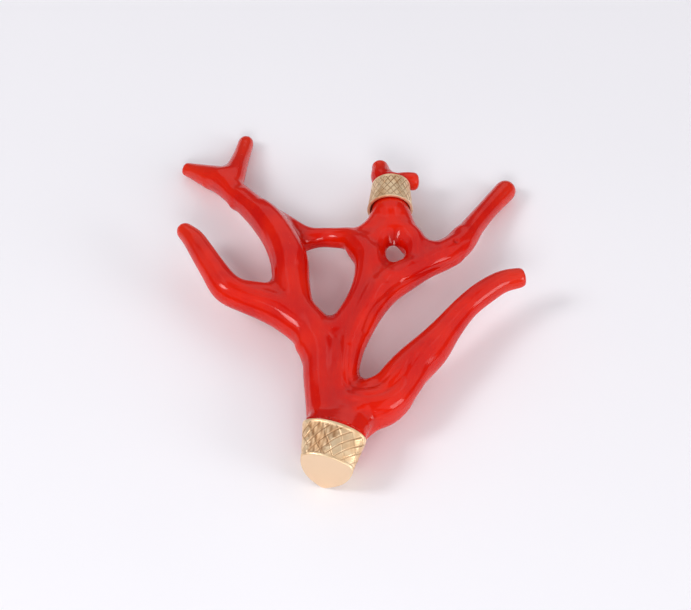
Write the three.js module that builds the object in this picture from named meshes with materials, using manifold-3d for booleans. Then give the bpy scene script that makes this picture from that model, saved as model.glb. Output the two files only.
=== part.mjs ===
// A polished branch of red coral lying on a table, its cut stem in an engraved gold cap and a
// conical gold collar round its upper middle branch, with the forked coral tip standing out of it.
// Millimetres, +Z up. The branch rests on z = 0 and the origin is under the middle of its box.
// The stem points to -Y and the tips to +Y.

import * as THREE from "three";
import { mergeVertices } from "three/addons/utils/BufferGeometryUtils.js";
import Module from "manifold-3d";

const wasm = await Module();
wasm.setup();

// Driving dimensions

const SIDES = 12; // faces round a coral branch
const STEP = 2.7; // spacing of the rings along a branch
const DOME_ANGLES = [35, 65].map(THREE.MathUtils.degToRad); // the two rings of a rounded end
const SAW_CUT = 0.3; // width of the cut between two coral pieces
const SAW_DEPTH = 40; // deep enough for any branch
const FIT_GAP = 0.3; // clearance between coral and gold
const ROOM_MARGIN = 1.2; // how far round a fitting the coral is cut away
const CAP_SIDES = 36; // faces round the cap, two for each engraved diamond
const CAP_ROWS = 5; // half diamonds along the cap
const COLLAR_SIDES = 44; // faces round the collar, two for each engraved diamond
const COLLAR_ROWS = 6; // half diamonds along the collar
const GROOVE_DEPTH = 0.16; // depth of the engraved grooves in the gold
const PLAIN_EDGE = 0.4; // bare edge beside the engraving
const EDGE_SLOPE = 0.04; // length over which the bare edge meets the engraving

// The branches. Each point is x, y, z and the branch's radius there.

// The stem runs on up the left limb and out to the squared left tip.
const STEM_TO_LEFT_TIP = [
  [-3.0, -31.6, 5.4, 4.4],
  [-3.7, -28.5, 5.5, 3.9],
  [-4.4, -24.1, 5.7, 3.4],
  [-4.85, -19.6, 6.0, 3.3],
  [-5.0, -15.0, 6.4, 3.4],
  [-6.6, -10.3, 6.9, 3.4],
  [-9.3, -5.6, 7.3, 3.05],
  [-10.25, -0.5, 7.6, 3.15],
  [-10.7, 4.7, 7.8, 3.25],
  [-12.3, 9.7, 7.6, 3.05],
  [-14.6, 14.4, 7.0, 2.85],
  [-17.4, 18.5, 6.0, 2.35],
  [-20.4, 22.9, 4.8, 2.2],
  [-22.8, 26.7, 3.6, 2.4],
  [-25.7, 29.0, 2.5, 1.95],
  [-28.1, 30.9, 1.6, 1.4],
  [-29.0, 31.5, 1.3, 1.25],
];
const UP_TIP = [
  [-20.0, 20.4, 5.1, 1.5],
  [-21.0, 24.4, 4.5, 2.05],
  [-20.5, 28.3, 3.8, 1.95],
  [-19.5, 33.4, 2.6, 1.55],
  [-18.8, 37.4, 1.7, 1.4],
];
const LOWER_LEFT = [
  [-5.0, -16.6, 6.2, 3.15],
  [-7.2, -10.6, 6.8, 3.1],
  [-10.4, -7.3, 7.1, 3.05],
  [-14.1, -5.0, 7.4, 2.9],
  [-17.6, -3.6, 7.6, 2.6],
  [-21.1, -1.5, 7.8, 2.65],
  [-23.6, 2.6, 7.9, 2.3],
  [-25.5, 6.3, 7.9, 2.1],
  [-27.1, 9.5, 7.7, 1.9],
  [-28.6, 11.6, 7.4, 1.55],
];
const RIGHT_LIMB_TO_TIP = [
  [-2.4, -24.4, 6.0, 2.5],
  [-1.6, -19.4, 6.6, 2.6],
  [-0.6, -14.0, 7.1, 2.7],
  [0.9, -9.8, 7.4, 2.8],
  [2.8, -5.4, 7.7, 3.0],
  [5.3, -1.5, 7.7, 3.1],
  [8.65, 1.5, 7.4, 2.8],
  [12.4, 4.6, 6.9, 2.5],
  [16.0, 7.5, 6.2, 2.55],
  [18.8, 10.8, 5.4, 2.35],
  [21.1, 15.5, 4.4, 1.95],
  [23.8, 20.6, 3.2, 1.8],
  [26.9, 25.8, 2.0, 1.9],
];
const LOWER_RIGHT = [
  [-1.9, -30.6, 5.2, 3.5],
  [0.6, -27.8, 5.2, 3.6],
  [3.2, -25.3, 5.4, 3.5],
  [5.7, -23.8, 5.7, 3.5],
  [7.3, -21.3, 6.2, 3.6],
  [10.0, -17.7, 6.6, 3.5],
  [13.2, -14.1, 7.0, 3.2],
  [16.1, -9.9, 7.4, 2.5],
  [19.2, -5.8, 7.9, 2.15],
  [22.5, -2.6, 8.2, 2.1],
  [25.6, -0.4, 8.3, 1.9],
  [28.35, 0.4, 8.3, 1.75],
];
// The rim of the large opening: up its right side and back along the bridge.
const LARGE_OPENING_RIM = [
  [-7.0, -12.8, 6.8, 2.65],
  [-3.7, -11.8, 6.9, 2.95],
  [-1.2, -9.4, 7.1, 2.7],
  [1.2, -5.1, 7.5, 2.65],
  [2.8, 0.2, 7.6, 2.6],
  [3.1, 5.0, 7.4, 2.75],
  [1.5, 8.5, 6.9, 2.6],
  [-0.3, 10.9, 6.2, 2.05],
  [-3.0, 11.9, 5.4, 1.75],
  [-6.1, 12.25, 5.0, 1.75],
  [-9.2, 11.2, 5.0, 1.95],
  [-11.2, 8.5, 6.0, 1.7],
];
// The thin web from the bridge up along the back of the left limb.
const BRIDGE_WEB = [
  [-15.8, 18.1, 5.4, 1.3],
  [-13.6, 16.1, 5.4, 2.05],
  [-10.9, 14.2, 5.2, 2.05],
  [-7.8, 12.9, 4.9, 1.6],
  [-3.7, 12.4, 5.2, 1.4],
];
// The rim of the small round hole.
const SMALL_HOLE = { x: 7.4, y: 6.8, z: 7.3, radius: 3.7, thickness: 2.1 };
const SMALL_HOLE_STRETCH = 1.43; // the rim is longer along the branch than across it
const SMALL_HOLE_POINTS = 8; // route points round half of the rim
const MIDDLE_BRANCH = [
  [6.9, 13.2, 6.9, 2.7],
  [6.8, 14.8, 6.8, 3.2],
  [6.7, 16.8, 6.7, 3.2],
  [6.7, 18.5, 6.5, 3.0],
];
// The flat part between the large opening and the small hole.
const MIDDLE_PLATE = [
  [3.0, -0.5, 7.3, 2.2],
  [3.2, 4.0, 7.2, 2.1],
  [3.4, 8.6, 7.0, 2.1],
  [4.4, 12.6, 6.8, 2.2],
];
// The swelling where the lower right branch leaves the cap, its crest and its underside.
const LOWER_RIGHT_KNEE = [
  [-1.2, -25.8, 5.6, 3.2],
  [2.0, -25.8, 5.7, 3.7],
  [5.0, -25.2, 5.8, 3.6],
  [7.0, -23.8, 6.0, 3.1],
  [8.2, -21.6, 6.4, 2.9],
];
const ARM_CREST = [
  [0.8, -27.4, 6.3, 2.2],
  [2.6, -27.0, 6.8, 2.45],
  [4.7, -26.5, 6.9, 2.55],
  [6.6, -25.3, 6.9, 2.45],
  [8.2, -23.3, 6.9, 2.4],
  [10.1, -20.1, 6.9, 2.3],
  [12.5, -16.2, 7.1, 2.0],
  [14.9, -12.5, 7.3, 1.6],
  [17.6, -8.7, 7.6, 1.2],
];
const ARM_UNDERSIDE = [
  [1.0, -28.6, 5.2, 2.65],
  [4.0, -26.1, 5.2, 2.75],
  [6.4, -24.7, 5.4, 2.6],
];
// Fillets of coral in the crotches, each hugging the edge of a gap.
const CROTCHES = [
  [
    [-24.8, 27.7, 2.9, 1.8],
    [-22.0, 27.0, 4.0, 2.2],
    [-20.5, 29.0, 3.6, 1.6],
  ],
  [
    [-18.3, -2.6, 7.4, 2.55],
    [-15.0, -3.1, 7.4, 2.5],
    [-11.4, -3.2, 7.5, 2.15],
    [-10.3, 0.8, 7.6, 2.3],
  ],
  [
    [-1.1, 11.3, 5.8, 1.75],
    [1.5, 11.1, 6.3, 2.0],
    [3.95, 12.4, 6.8, 2.3],
    [5.4, 15.6, 6.8, 2.15],
  ],
  [
    [8.0, 16.2, 6.8, 2.15],
    [8.9, 12.4, 7.0, 2.25],
    [11.1, 8.2, 6.9, 2.3],
    [14.1, 7.4, 6.5, 2.2],
    [16.9, 8.9, 5.8, 2.3],
    [19.4, 12.4, 5.2, 2.2],
  ],
  [
    [-3.2, -23.4, 5.8, 2.2],
    [-0.8, -25.1, 5.8, 2.3],
    [1.7, -24.3, 5.9, 2.75],
    [4.0, -22.4, 6.0, 2.6],
    [6.3, -20.8, 6.3, 2.15],
    [8.5, -17.9, 6.6, 1.9],
  ],
];
// The forked tip beyond the collar.
const TIP_LEFT_STUB = [
  [6.2, 23.5, 6.3, 2.4],
  [5.3, 25.6, 6.0, 2.0],
  [4.95, 27.7, 5.9, 1.5],
];
const TIP_RIGHT_STUB = [
  [7.3, 23.6, 6.1, 2.0],
  [8.7, 24.8, 5.7, 1.6],
  [10.7, 25.0, 5.4, 1.6],
];

// The cap: an egg-shaped section at each end, measured from its widest line.
const CAP_YAW = THREE.MathUtils.degToRad(19);
const CAP_WALL = 0.6;
const CAP_END = { x: -4.15, y: -38.1, z: 6.6, halfWidth: 4.5, top: 2.05, bottom: 6.1, lobe: 0.5 };
const CAP_RIM = { x: -2.9, y: -32.4, z: 8.0, halfWidth: 5.55, top: 2.8, bottom: 7.5, lobe: 0.5 };
const LOBE_WIDTH = THREE.MathUtils.degToRad(16); // half the width of the small lobe underneath
const LOBE_LEAN = 0.7; // how far the lobe and the underside lean to the left
// The coral's shoulder fills the cap's rim and thins into the stem.
const SHOULDER_INSET = 0.35;
const SHOULDER_STEP = 0.03; // length over which the coral widens outside the rim
const SHOULDER_TOP = { x: -1.3, y: -27.8, z: 6.9, halfWidth: 4.8, top: 2.0, bottom: 4.6, lobe: 0 };

// The collar: a round cone along +Y.
const COLLAR_WALL = 0.5;
const COLLAR_LOW = { x: 6.6, y: 17.2, z: 6.6, halfWidth: 3.96, top: 3.96, bottom: 3.96, lobe: 0 };
const COLLAR_TOP = { x: 6.8, y: 23.0, z: 6.4, halfWidth: 3.32, top: 3.32, bottom: 3.32, lobe: 0 };
// The coral pegs inside the collar reach out of it at both ends, given as shares of its length.
const LOWER_PEG_START = -0.15;
const UPPER_PEG_END = 1.18;

// The saw cuts at the main forks: a point on the branch, the branch's heading there in degrees
// from +X, and how far the cut reaches across.
const FORKS = [
  { x: -7.9, y: -8.6, heading: 117, reach: 12 },
  { x: -18.2, y: -3.1, heading: 148, reach: 7.5 },
  { x: -17.1, y: 19.3, heading: 125, reach: 9 },
  { x: -6.6, y: 12.6, heading: 180, reach: 9 },
  { x: -0.9, y: 11.7, heading: 0, reach: 8 },
  { x: 0.3, y: -8.2, heading: 62, reach: 10.5 },
  { x: 14.4, y: 5.7, heading: 8, reach: 11 },
  { x: 6.8, y: 13.6, heading: 90, reach: 11 },
  { x: 2.2, y: -25.5, heading: 12, reach: 14 },
];
// The middle of each coral piece, by which it gets its name.
const CORAL_PIECES = {
  stem: [-4.6, -20, 6],
  left_limb: [-11.5, 5, 7],
  lower_left_branch: [-22, 1, 7.7],
  upper_left_branch: [-22, 27, 3.5],
  bridge: [-3.7, 12.4, 5.3],
  right_limb: [5.5, 3, 7.4],
  upper_right_branch: [20.5, 14, 4.5],
  collar_branch: [6.7, 17, 6.6],
  lower_right_branch: [14, -13, 7],
};

const CORAL_FINISH = { color: 0xc8180f, roughness: 0.12, metalness: 0 };
const GOLD_FINISH = { color: 0xf0cd96, roughness: 0.3, metalness: 1 };

const UP = new THREE.Vector3(0, 0, 1);

// A closed solid skinned over a row of rings, each a list of points that runs the same way
// round. The fans that close its ends meet at the given points.
function loft(rings, startPoint, endPoint) {
  const sides = rings[0].length;
  const positions = rings.flat().flatMap((point) => [point.x, point.y, point.z]);
  const faces = [];
  for (let i = 0; i < rings.length - 1; i++) {
    for (let j = 0; j < sides; j++) {
      const a = i * sides + j;
      const b = i * sides + ((j + 1) % sides);
      const c = a + sides;
      const d = b + sides;
      // The diagonals of neighbouring quads mirror each other. On the gold they join the
      // crossings of the grooves.
      if ((i + j) % 2 === 0) faces.push(a, b, d, a, d, c);
      else faces.push(a, b, c, b, d, c);
    }
  }
  const startIndex = positions.length / 3;
  const endIndex = startIndex + 1;
  positions.push(startPoint.x, startPoint.y, startPoint.z, endPoint.x, endPoint.y, endPoint.z);
  const last = (rings.length - 1) * sides;
  for (let j = 0; j < sides; j++) {
    const next = (j + 1) % sides;
    faces.push(startIndex, next, j);
    faces.push(endIndex, last + j, last + next);
  }
  const geometry = new THREE.BufferGeometry();
  geometry.setAttribute("position", new THREE.Float32BufferAttribute(positions, 3));
  geometry.setIndex(faces);
  return geometry;
}

// The manifold solid of a closed geometry.
function solid(geometry) {
  const bare = geometry.clone();
  bare.deleteAttribute("normal");
  bare.deleteAttribute("uv");
  const merged = mergeVertices(bare, 1e-4);
  const mesh = new wasm.Mesh({
    numProp: 3,
    vertProperties: merged.attributes.position.array,
    triVerts: new Uint32Array(merged.index.array),
  });
  return new wasm.Manifold(mesh);
}

function geometryOf(body) {
  const mesh = body.getMesh();
  const geometry = new THREE.BufferGeometry();
  geometry.setAttribute("position", new THREE.BufferAttribute(mesh.vertProperties, 3));
  geometry.setIndex(new THREE.BufferAttribute(mesh.triVerts, 1));
  geometry.computeVertexNormals();
  return geometry;
}

// A ring of the given radius round a point, square to the direction.
function ringAround(centre, direction, radius) {
  const side = new THREE.Vector3().crossVectors(UP, direction).normalize();
  const over = new THREE.Vector3().crossVectors(direction, side);
  return Array.from({ length: SIDES }, (_, j) => {
    const turn = (2 * Math.PI * j) / SIDES;
    return centre
      .clone()
      .addScaledVector(side, radius * Math.cos(turn))
      .addScaledVector(over, radius * Math.sin(turn));
  });
}

// A branch of coral: rings along a smooth curve through the route's points, with rounded ends.
function branch(route, closedRoute = false) {
  const path = new THREE.CatmullRomCurve3(
    route.map(([x, y, z]) => new THREE.Vector3(x, y, z)),
    closedRoute,
  );
  const thickness = new THREE.CatmullRomCurve3(
    route.map(([, , , radius]) => new THREE.Vector3(radius, 0, 0)),
    closedRoute,
    "catmullrom",
  );
  const count = Math.max(3, Math.ceil(path.getLength() / STEP));
  const rings = [];
  for (let i = 0; i <= count; i++) {
    const at = i / count;
    rings.push(ringAround(path.getPoint(at), path.getTangent(at), thickness.getPoint(at).x));
  }
  const ends = [0, 1].map((at) => {
    const outward = path.getTangent(at).multiplyScalar(at ? 1 : -1);
    return { centre: path.getPoint(at), outward, radius: thickness.getPoint(at).x };
  });
  // Two smaller rings and a point dome each end.
  const domed = ends.map(({ centre, outward, radius }, which) => {
    const forward = outward.clone().multiplyScalar(which ? 1 : -1);
    const dome = DOME_ANGLES.map((angle) => {
      const middle = centre.clone().addScaledVector(outward, radius * Math.sin(angle));
      return ringAround(middle, forward, radius * Math.cos(angle));
    });
    return { dome, crown: centre.clone().addScaledVector(outward, radius) };
  });
  const all = [...domed[0].dome.reverse(), ...rings, ...domed[1].dome];
  return solid(loft(all, domed[0].crown, domed[1].crown));
}

// The rim of the small hole is two half rings, so that each has open ends.
function smallHoleRim() {
  const { x, y, z, radius, thickness } = SMALL_HOLE;
  const halves = [0, 1].map((half) =>
    branch(
      Array.from({ length: SMALL_HOLE_POINTS + 1 }, (_, i) => {
        const turn = Math.PI * (half + i / SMALL_HOLE_POINTS);
        const along = radius * SMALL_HOLE_STRETCH * Math.sin(turn);
        return [x + radius * Math.cos(turn), y + along, z, thickness];
      }),
    ),
  );
  return halves[0].add(halves[1]);
}

// The point of a section at a turn from its left end. It is widest at z, flatter above than
// below, may have a small lobe leaning to the left underneath, and is drawn inwards by the inset.
function sectionPoint(section, yaw, turn, inset) {
  const left = new THREE.Vector3(-Math.cos(yaw), Math.sin(yaw), 0);
  const height = Math.sin(turn) > 0 ? section.top : section.bottom;
  const fromBottom = (turn - 1.5 * Math.PI) / LOBE_WIDTH;
  const lobe = section.lobe * Math.exp(-fromBottom * fromBottom);
  const lean = section.lobe > 0 ? LOBE_LEAN * Math.max(0, -Math.sin(turn)) : 0;
  return new THREE.Vector3(section.x, section.y, section.z)
    .addScaledVector(left, (section.halfWidth - inset) * Math.cos(turn) + lean)
    .addScaledVector(UP, (height - inset) * Math.sin(turn) - lobe);
}

// The section at a share of the way from one section to the other.
function between(low, high, share) {
  const middle = {};
  for (const key of Object.keys(low)) middle[key] = THREE.MathUtils.lerp(low[key], high[key], share);
  return middle;
}

// A smooth tapering solid through the sections, each drawn in by its inset.
function taper(sections, yaw, sides) {
  const rings = sections.map(({ section, inset }) =>
    Array.from({ length: sides }, (_, j) =>
      sectionPoint(section, yaw, (2 * Math.PI * j) / sides, inset),
    ),
  );
  const centres = [rings[0], rings.at(-1)].map((ring) =>
    ring.reduce((sum, point) => sum.add(point), new THREE.Vector3()).divideScalar(sides),
  );
  return solid(loft(rings, centres[0], centres[1]));
}

const gapBetween = (low, high) => Math.hypot(high.x - low.x, high.y - low.y, high.z - low.z);

// The same taper with a lattice of diamonds engraved on it: where the grooves cross the
// surface sinks to their depth, and each diamond's middle keeps its full height.
function engravedTaper(low, high, yaw, sides, rows) {
  const length = gapBetween(low, high);
  const edgeShare = PLAIN_EDGE / length;
  const plainShare = (PLAIN_EDGE - EDGE_SLOPE) / length;
  const plain = (share) => ({ section: between(low, high, share), insetAt: () => 0 });
  const stations = [plain(0), plain(plainShare)];
  for (let row = 0; row <= rows; row++) {
    const share = edgeShare + ((1 - 2 * edgeShare) * row) / rows;
    const insetAt = (j) => ((row + j) % 2 ? 0 : GROOVE_DEPTH);
    stations.push({ section: between(low, high, share), insetAt });
  }
  stations.push(plain(1 - plainShare), plain(1));
  const rings = stations.map(({ section, insetAt }) =>
    Array.from({ length: sides }, (_, j) =>
      sectionPoint(section, yaw, (2 * Math.PI * j) / sides, insetAt(j)),
    ),
  );
  const centres = [low, high].map((section) => new THREE.Vector3(section.x, section.y, section.z));
  return solid(loft(rings, centres[0], centres[1]));
}

const CAP_LENGTH = gapBetween(CAP_END, CAP_RIM);
const COLLAR_LENGTH = gapBetween(COLLAR_LOW, COLLAR_TOP);
// Half the gap between the two pegs that meet inside the collar.
const HALF_GAP_SHARE = FIT_GAP / 2 / COLLAR_LENGTH;

// The cap is a cup with a flat end plate. Its cavity runs out through the rim.
function baseCap() {
  const outside = engravedTaper(CAP_END, CAP_RIM, CAP_YAW, CAP_SIDES, CAP_ROWS);
  const floorShare = CAP_WALL / CAP_LENGTH;
  const cavity = taper(
    [
      { section: between(CAP_END, CAP_RIM, floorShare), inset: CAP_WALL },
      { section: between(CAP_END, CAP_RIM, 1 + floorShare), inset: CAP_WALL },
    ],
    CAP_YAW,
    CAP_SIDES,
  );
  return outside.subtract(cavity);
}

// The collar is a ring, open at both ends.
function collarRing() {
  const edge = PLAIN_EDGE / COLLAR_LENGTH;
  const outside = engravedTaper(COLLAR_LOW, COLLAR_TOP, 0, COLLAR_SIDES, COLLAR_ROWS);
  const bore = taper(
    [
      { section: between(COLLAR_LOW, COLLAR_TOP, -edge), inset: COLLAR_WALL },
      { section: between(COLLAR_LOW, COLLAR_TOP, 1 + edge), inset: COLLAR_WALL },
    ],
    0,
    COLLAR_SIDES,
  );
  return outside.subtract(bore);
}

// The room round a fitting where no branch may reach. It ends a clearance beyond the high end.
function roomFor(low, high, yaw) {
  const length = gapBetween(low, high);
  return taper(
    [
      { section: between(low, high, -ROOM_MARGIN / length), inset: -ROOM_MARGIN },
      { section: between(low, high, 1 + FIT_GAP / length), inset: -ROOM_MARGIN },
    ],
    yaw,
    SIDES,
  );
}

// The coral inside the cap, and its shoulder that thins into the stem.
function capPlug() {
  const gap = CAP_WALL + FIT_GAP;
  const outShare = 1 + FIT_GAP / CAP_LENGTH;
  const shoulderShare = outShare + SHOULDER_STEP / CAP_LENGTH;
  return taper(
    [
      { section: between(CAP_END, CAP_RIM, gap / CAP_LENGTH), inset: gap },
      { section: between(CAP_END, CAP_RIM, outShare), inset: gap },
      { section: between(CAP_END, CAP_RIM, shoulderShare), inset: SHOULDER_INSET },
      { section: SHOULDER_TOP, inset: 0 },
    ],
    CAP_YAW,
    2 * SIDES,
  );
}

// A round peg of coral inside the collar, from one share of the collar's length to another.
function collarPeg(fromShare, toShare) {
  const gap = COLLAR_WALL + FIT_GAP;
  return taper(
    [
      { section: between(COLLAR_LOW, COLLAR_TOP, fromShare), inset: gap },
      { section: between(COLLAR_LOW, COLLAR_TOP, toShare), inset: gap },
    ],
    0,
    2 * SIDES,
  );
}

// A thin upright slab across a branch, as wide as the saw cut.
function sawCut({ x, y, heading, reach }) {
  const slab = new THREE.BoxGeometry(SAW_CUT, reach, SAW_DEPTH);
  slab.rotateZ(THREE.MathUtils.degToRad(heading));
  slab.translate(x, y, 0);
  return solid(slab);
}

const joined = (solids) => solids.reduce((sum, one) => sum.add(one));

// The whole coral up to the collar, joined, and cut into its pieces at the forks.
function coralPieces() {
  const routes = [
    STEM_TO_LEFT_TIP,
    UP_TIP,
    LOWER_LEFT,
    RIGHT_LIMB_TO_TIP,
    LOWER_RIGHT,
    LARGE_OPENING_RIM,
    BRIDGE_WEB,
    MIDDLE_BRANCH,
    MIDDLE_PLATE,
    LOWER_RIGHT_KNEE,
    ARM_CREST,
    ARM_UNDERSIDE,
    ...CROTCHES,
  ];
  const grown = joined([...routes.map((route) => branch(route)), smallHoleRim()]);
  const fitted = grown
    .subtract(roomFor(CAP_END, CAP_RIM, CAP_YAW))
    .subtract(roomFor(COLLAR_TOP, COLLAR_LOW, Math.PI))
    .add(capPlug())
    .add(collarPeg(LOWER_PEG_START, 0.5 - HALF_GAP_SHARE));
  const bodies = fitted.subtract(joined(FORKS.map(sawCut))).decompose();
  const names = Object.keys(CORAL_PIECES);
  if (bodies.length !== names.length) throw new Error(`${bodies.length} coral pieces`);
  const pieces = {};
  for (const body of bodies) {
    const box = body.boundingBox();
    const middle = new THREE.Vector3(...box.min).add(new THREE.Vector3(...box.max)).divideScalar(2);
    const distance = (name) => middle.distanceTo(new THREE.Vector3(...CORAL_PIECES[name]));
    const nearest = names.toSorted((one, other) => distance(one) - distance(other))[0];
    if (pieces[nearest]) throw new Error(`two pieces are nearest to ${nearest}`);
    pieces[nearest] = body;
  }
  return pieces;
}

// The forked tip: two stubs on a peg that stands in the collar.
function tipFork() {
  const stubs = branch(TIP_LEFT_STUB).add(branch(TIP_RIGHT_STUB));
  const standing = stubs.subtract(roomFor(COLLAR_LOW, COLLAR_TOP, 0));
  return standing.add(collarPeg(0.5 + HALF_GAP_SHARE, UPPER_PEG_END));
}

const redCoralBranch = new THREE.Group();

function addPiece(name, body, finish) {
  const piece = new THREE.Mesh(geometryOf(body), new THREE.MeshStandardMaterial(finish));
  piece.name = name;
  redCoralBranch.add(piece);
}

for (const [name, body] of Object.entries(coralPieces())) addPiece(name, body, CORAL_FINISH);
addPiece("tip_fork", tipFork(), CORAL_FINISH);
addPiece("base_cap", baseCap(), GOLD_FINISH);
addPiece("collar", collarRing(), GOLD_FINISH);

export default redCoralBranch;
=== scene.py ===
"""Looks of a polished red coral branch with an engraved gold cap and an engraved gold collar.

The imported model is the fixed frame. One continuous coral skin, the coral tip beyond the collar
and two engraved gold fittings stand for its nodes. Lengths inside are millimetres.
"""

import logging
import math
from dataclasses import dataclass, fields
from enum import Enum
from typing import Callable, NamedTuple, Optional, Sequence, Union

import bmesh
import bpy
import numpy as np
from mathutils import Matrix, Vector, noise


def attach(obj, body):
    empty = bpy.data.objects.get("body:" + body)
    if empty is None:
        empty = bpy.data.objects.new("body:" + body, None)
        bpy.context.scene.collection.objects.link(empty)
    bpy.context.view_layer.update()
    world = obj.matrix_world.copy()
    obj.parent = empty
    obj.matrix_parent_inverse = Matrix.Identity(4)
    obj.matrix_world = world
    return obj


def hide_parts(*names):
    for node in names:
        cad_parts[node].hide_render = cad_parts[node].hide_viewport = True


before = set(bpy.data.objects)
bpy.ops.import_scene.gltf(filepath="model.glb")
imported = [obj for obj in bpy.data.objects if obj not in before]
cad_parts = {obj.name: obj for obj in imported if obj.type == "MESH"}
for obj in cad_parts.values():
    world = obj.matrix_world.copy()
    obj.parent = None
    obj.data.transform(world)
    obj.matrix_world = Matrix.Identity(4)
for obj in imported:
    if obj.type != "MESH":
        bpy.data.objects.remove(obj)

LOG = logging.getLogger("coral")

METRES = 0.001  # metres in a millimetre
MERGE = 1e-4  # points closer than this are one
NUDGE = 1e-3  # a small share of a route
FEWEST_STEPS = 4  # along a short route
TURN = 2 * math.pi
UP = Vector((0.0, 0.0, 1.0))

Point3 = tuple[float, float, float]
Point4 = tuple[float, float, float, float]
Colour = tuple[float, float, float, float]


def colour(red: int, green: int, blue: int) -> Colour:
    """Turns a screen colour of 0 to 255 into the linear colour that shaders take.

    Args:
        red: Red, 0 to 255.
        green: Green, 0 to 255.
        blue: Blue, 0 to 255.

    Returns:
        The linear colour, with full alpha.
    """

    def linear(value: int) -> float:
        """One channel, from screen to linear."""
        share = value / 255
        return share / 12.92 if share <= 0.04045 else ((share + 0.055) / 1.055) ** 2.4

    return linear(red), linear(green), linear(blue), 1.0


# Shader maths


class Socket:
    """A value in a shader. Python's operators on it add Math nodes."""

    def __init__(self, shader: "Shader", link: bpy.types.NodeSocket) -> None:
        """Wraps an output socket of one of the shader's nodes."""
        self.shader = shader
        self.link = link

    def _maths(self, operation: str, *values: "Value") -> "Socket":
        """Adds a Math node with an operation and its inputs, in order."""
        inputs = dict(enumerate(values))
        return self.shader.node("ShaderNodeMath", {"operation": operation}, inputs)

    def __add__(self, other: "Value") -> "Socket":
        """This value plus the other."""
        return self._maths("ADD", self, other)

    def __sub__(self, other: "Value") -> "Socket":
        """This value minus the other."""
        return self._maths("SUBTRACT", self, other)

    def __rsub__(self, other: "Value") -> "Socket":
        """The other value minus this."""
        return self._maths("SUBTRACT", other, self)

    def __mul__(self, other: "Value") -> "Socket":
        """This value times the other."""
        return self._maths("MULTIPLY", self, other)

    __radd__ = __add__
    __rmul__ = __mul__

    def step(self, low: float, high: float) -> "Socket":
        """Rises smoothly from 0 at low to 1 at high."""
        settings = {"interpolation_type": "SMOOTHSTEP"}
        return self.shader.node("ShaderNodeMapRange", settings, {"Value": self, 1: low, 2: high})


Value = Union[Socket, float, int, tuple]


class Shader:
    """One material and the nodes in it."""

    def __init__(self, name: str) -> None:
        """Starts a material that holds a principled shader alone.

        Args:
            name: The material's name.
        """
        self.material = bpy.data.materials.new(name)
        self.material.use_nodes = True
        self.tree = self.material.node_tree
        self.tree.nodes.clear()
        self.surface = self.tree.nodes.new("ShaderNodeBsdfPrincipled")
        output = self.tree.nodes.new("ShaderNodeOutputMaterial")
        self.tree.links.new(self.surface.outputs[0], output.inputs["Surface"])

    def _feed(self, target: bpy.types.NodeSocket, value: Value) -> None:
        """Links a value to an input, or sets it there when it is a plain number or colour.

        Args:
            target: The input.
            value: The value.
        """
        if isinstance(value, Socket):
            self.tree.links.new(value.link, target)
        else:
            target.default_value = value

    def node(
        self,
        kind: str,
        settings: Optional[dict] = None,
        inputs: Optional[dict] = None,
        output: Union[int, str] = 0,
    ) -> Socket:
        """Adds any node.

        Args:
            kind: The node's type name.
            settings: The node's own settings, which are set first.
            inputs: The values or links of its sockets, by name or number.
            output: The output to give back, by name or number.

        Returns:
            That output.
        """
        node = self.tree.nodes.new(kind)
        for name, value in (settings or {}).items():
            setattr(node, name, value)
        for name, value in (inputs or {}).items():
            self._feed(node.inputs[name], value)
        return Socket(self, node.outputs[output])

    def place(self, stretch: Point3) -> Socket:
        """The object's coordinates in millimetres, times a factor along each axis.

        Args:
            stretch: The factors.

        Returns:
            The coordinates.
        """
        coords = self.node("ShaderNodeTexCoord", output="Object")
        factors = tuple(part / METRES for part in stretch)
        return self.node("ShaderNodeMapping", inputs={"Vector": coords, "Scale": factors})

    def attribute(self, name: str) -> Socket:
        """A value stored on the piece's own mesh."""
        return self.node("ShaderNodeAttribute", {"attribute_name": name}, output="Fac")

    def mix(self, share: Value, first: Value, second: Value) -> Socket:
        """Blends two colours by a share from 0, the first, to 1, the second."""
        settings = {"data_type": "RGBA"}
        return self.node("ShaderNodeMix", settings, {0: share, 6: first, 7: second}, output=2)

    def bump(self, height: Socket, strength: float, depth: float) -> Socket:
        """A shading normal from a height of 0 to 1, which stands for a depth in millimetres."""
        inputs = {"Height": height, "Strength": strength, "Distance": depth * METRES}
        return self.node("ShaderNodeBump", inputs=inputs)

    def finish(self, **values: Value) -> bpy.types.Material:
        """Feeds the principled shader.

        Args:
            values: What goes to each input, an underscore standing for a space in its name.

        Returns:
            The material.
        """
        for name, value in values.items():
            self._feed(self.surface.inputs[name.replace("_", " ")], value)
        return self.material


@dataclass(frozen=True)
class Pattern:
    """A cloudy pattern that runs through a material."""

    scale: float  # clouds in a millimetre
    detail: float  # finer layers
    rough: float  # how strong the finer layers are
    rise: Optional[tuple[float, float]] = None  # where a smooth step from 0 to 1 starts and ends
    stretch: Point3 = (1.0, 1.0, 1.0)

    def on(self, shader: Shader) -> Socket:
        """Adds the pattern to a material.

        Args:
            shader: The material's shader.

        Returns:
            A value between 0 and 1.
        """
        inputs = {"Vector": shader.place(self.stretch), "Scale": self.scale}
        inputs |= {"Detail": self.detail, "Roughness": self.rough}
        clouds = shader.node("ShaderNodeTexNoise", inputs=inputs)
        return clouds.step(*self.rise) if self.rise else clouds


# Finishes


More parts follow.
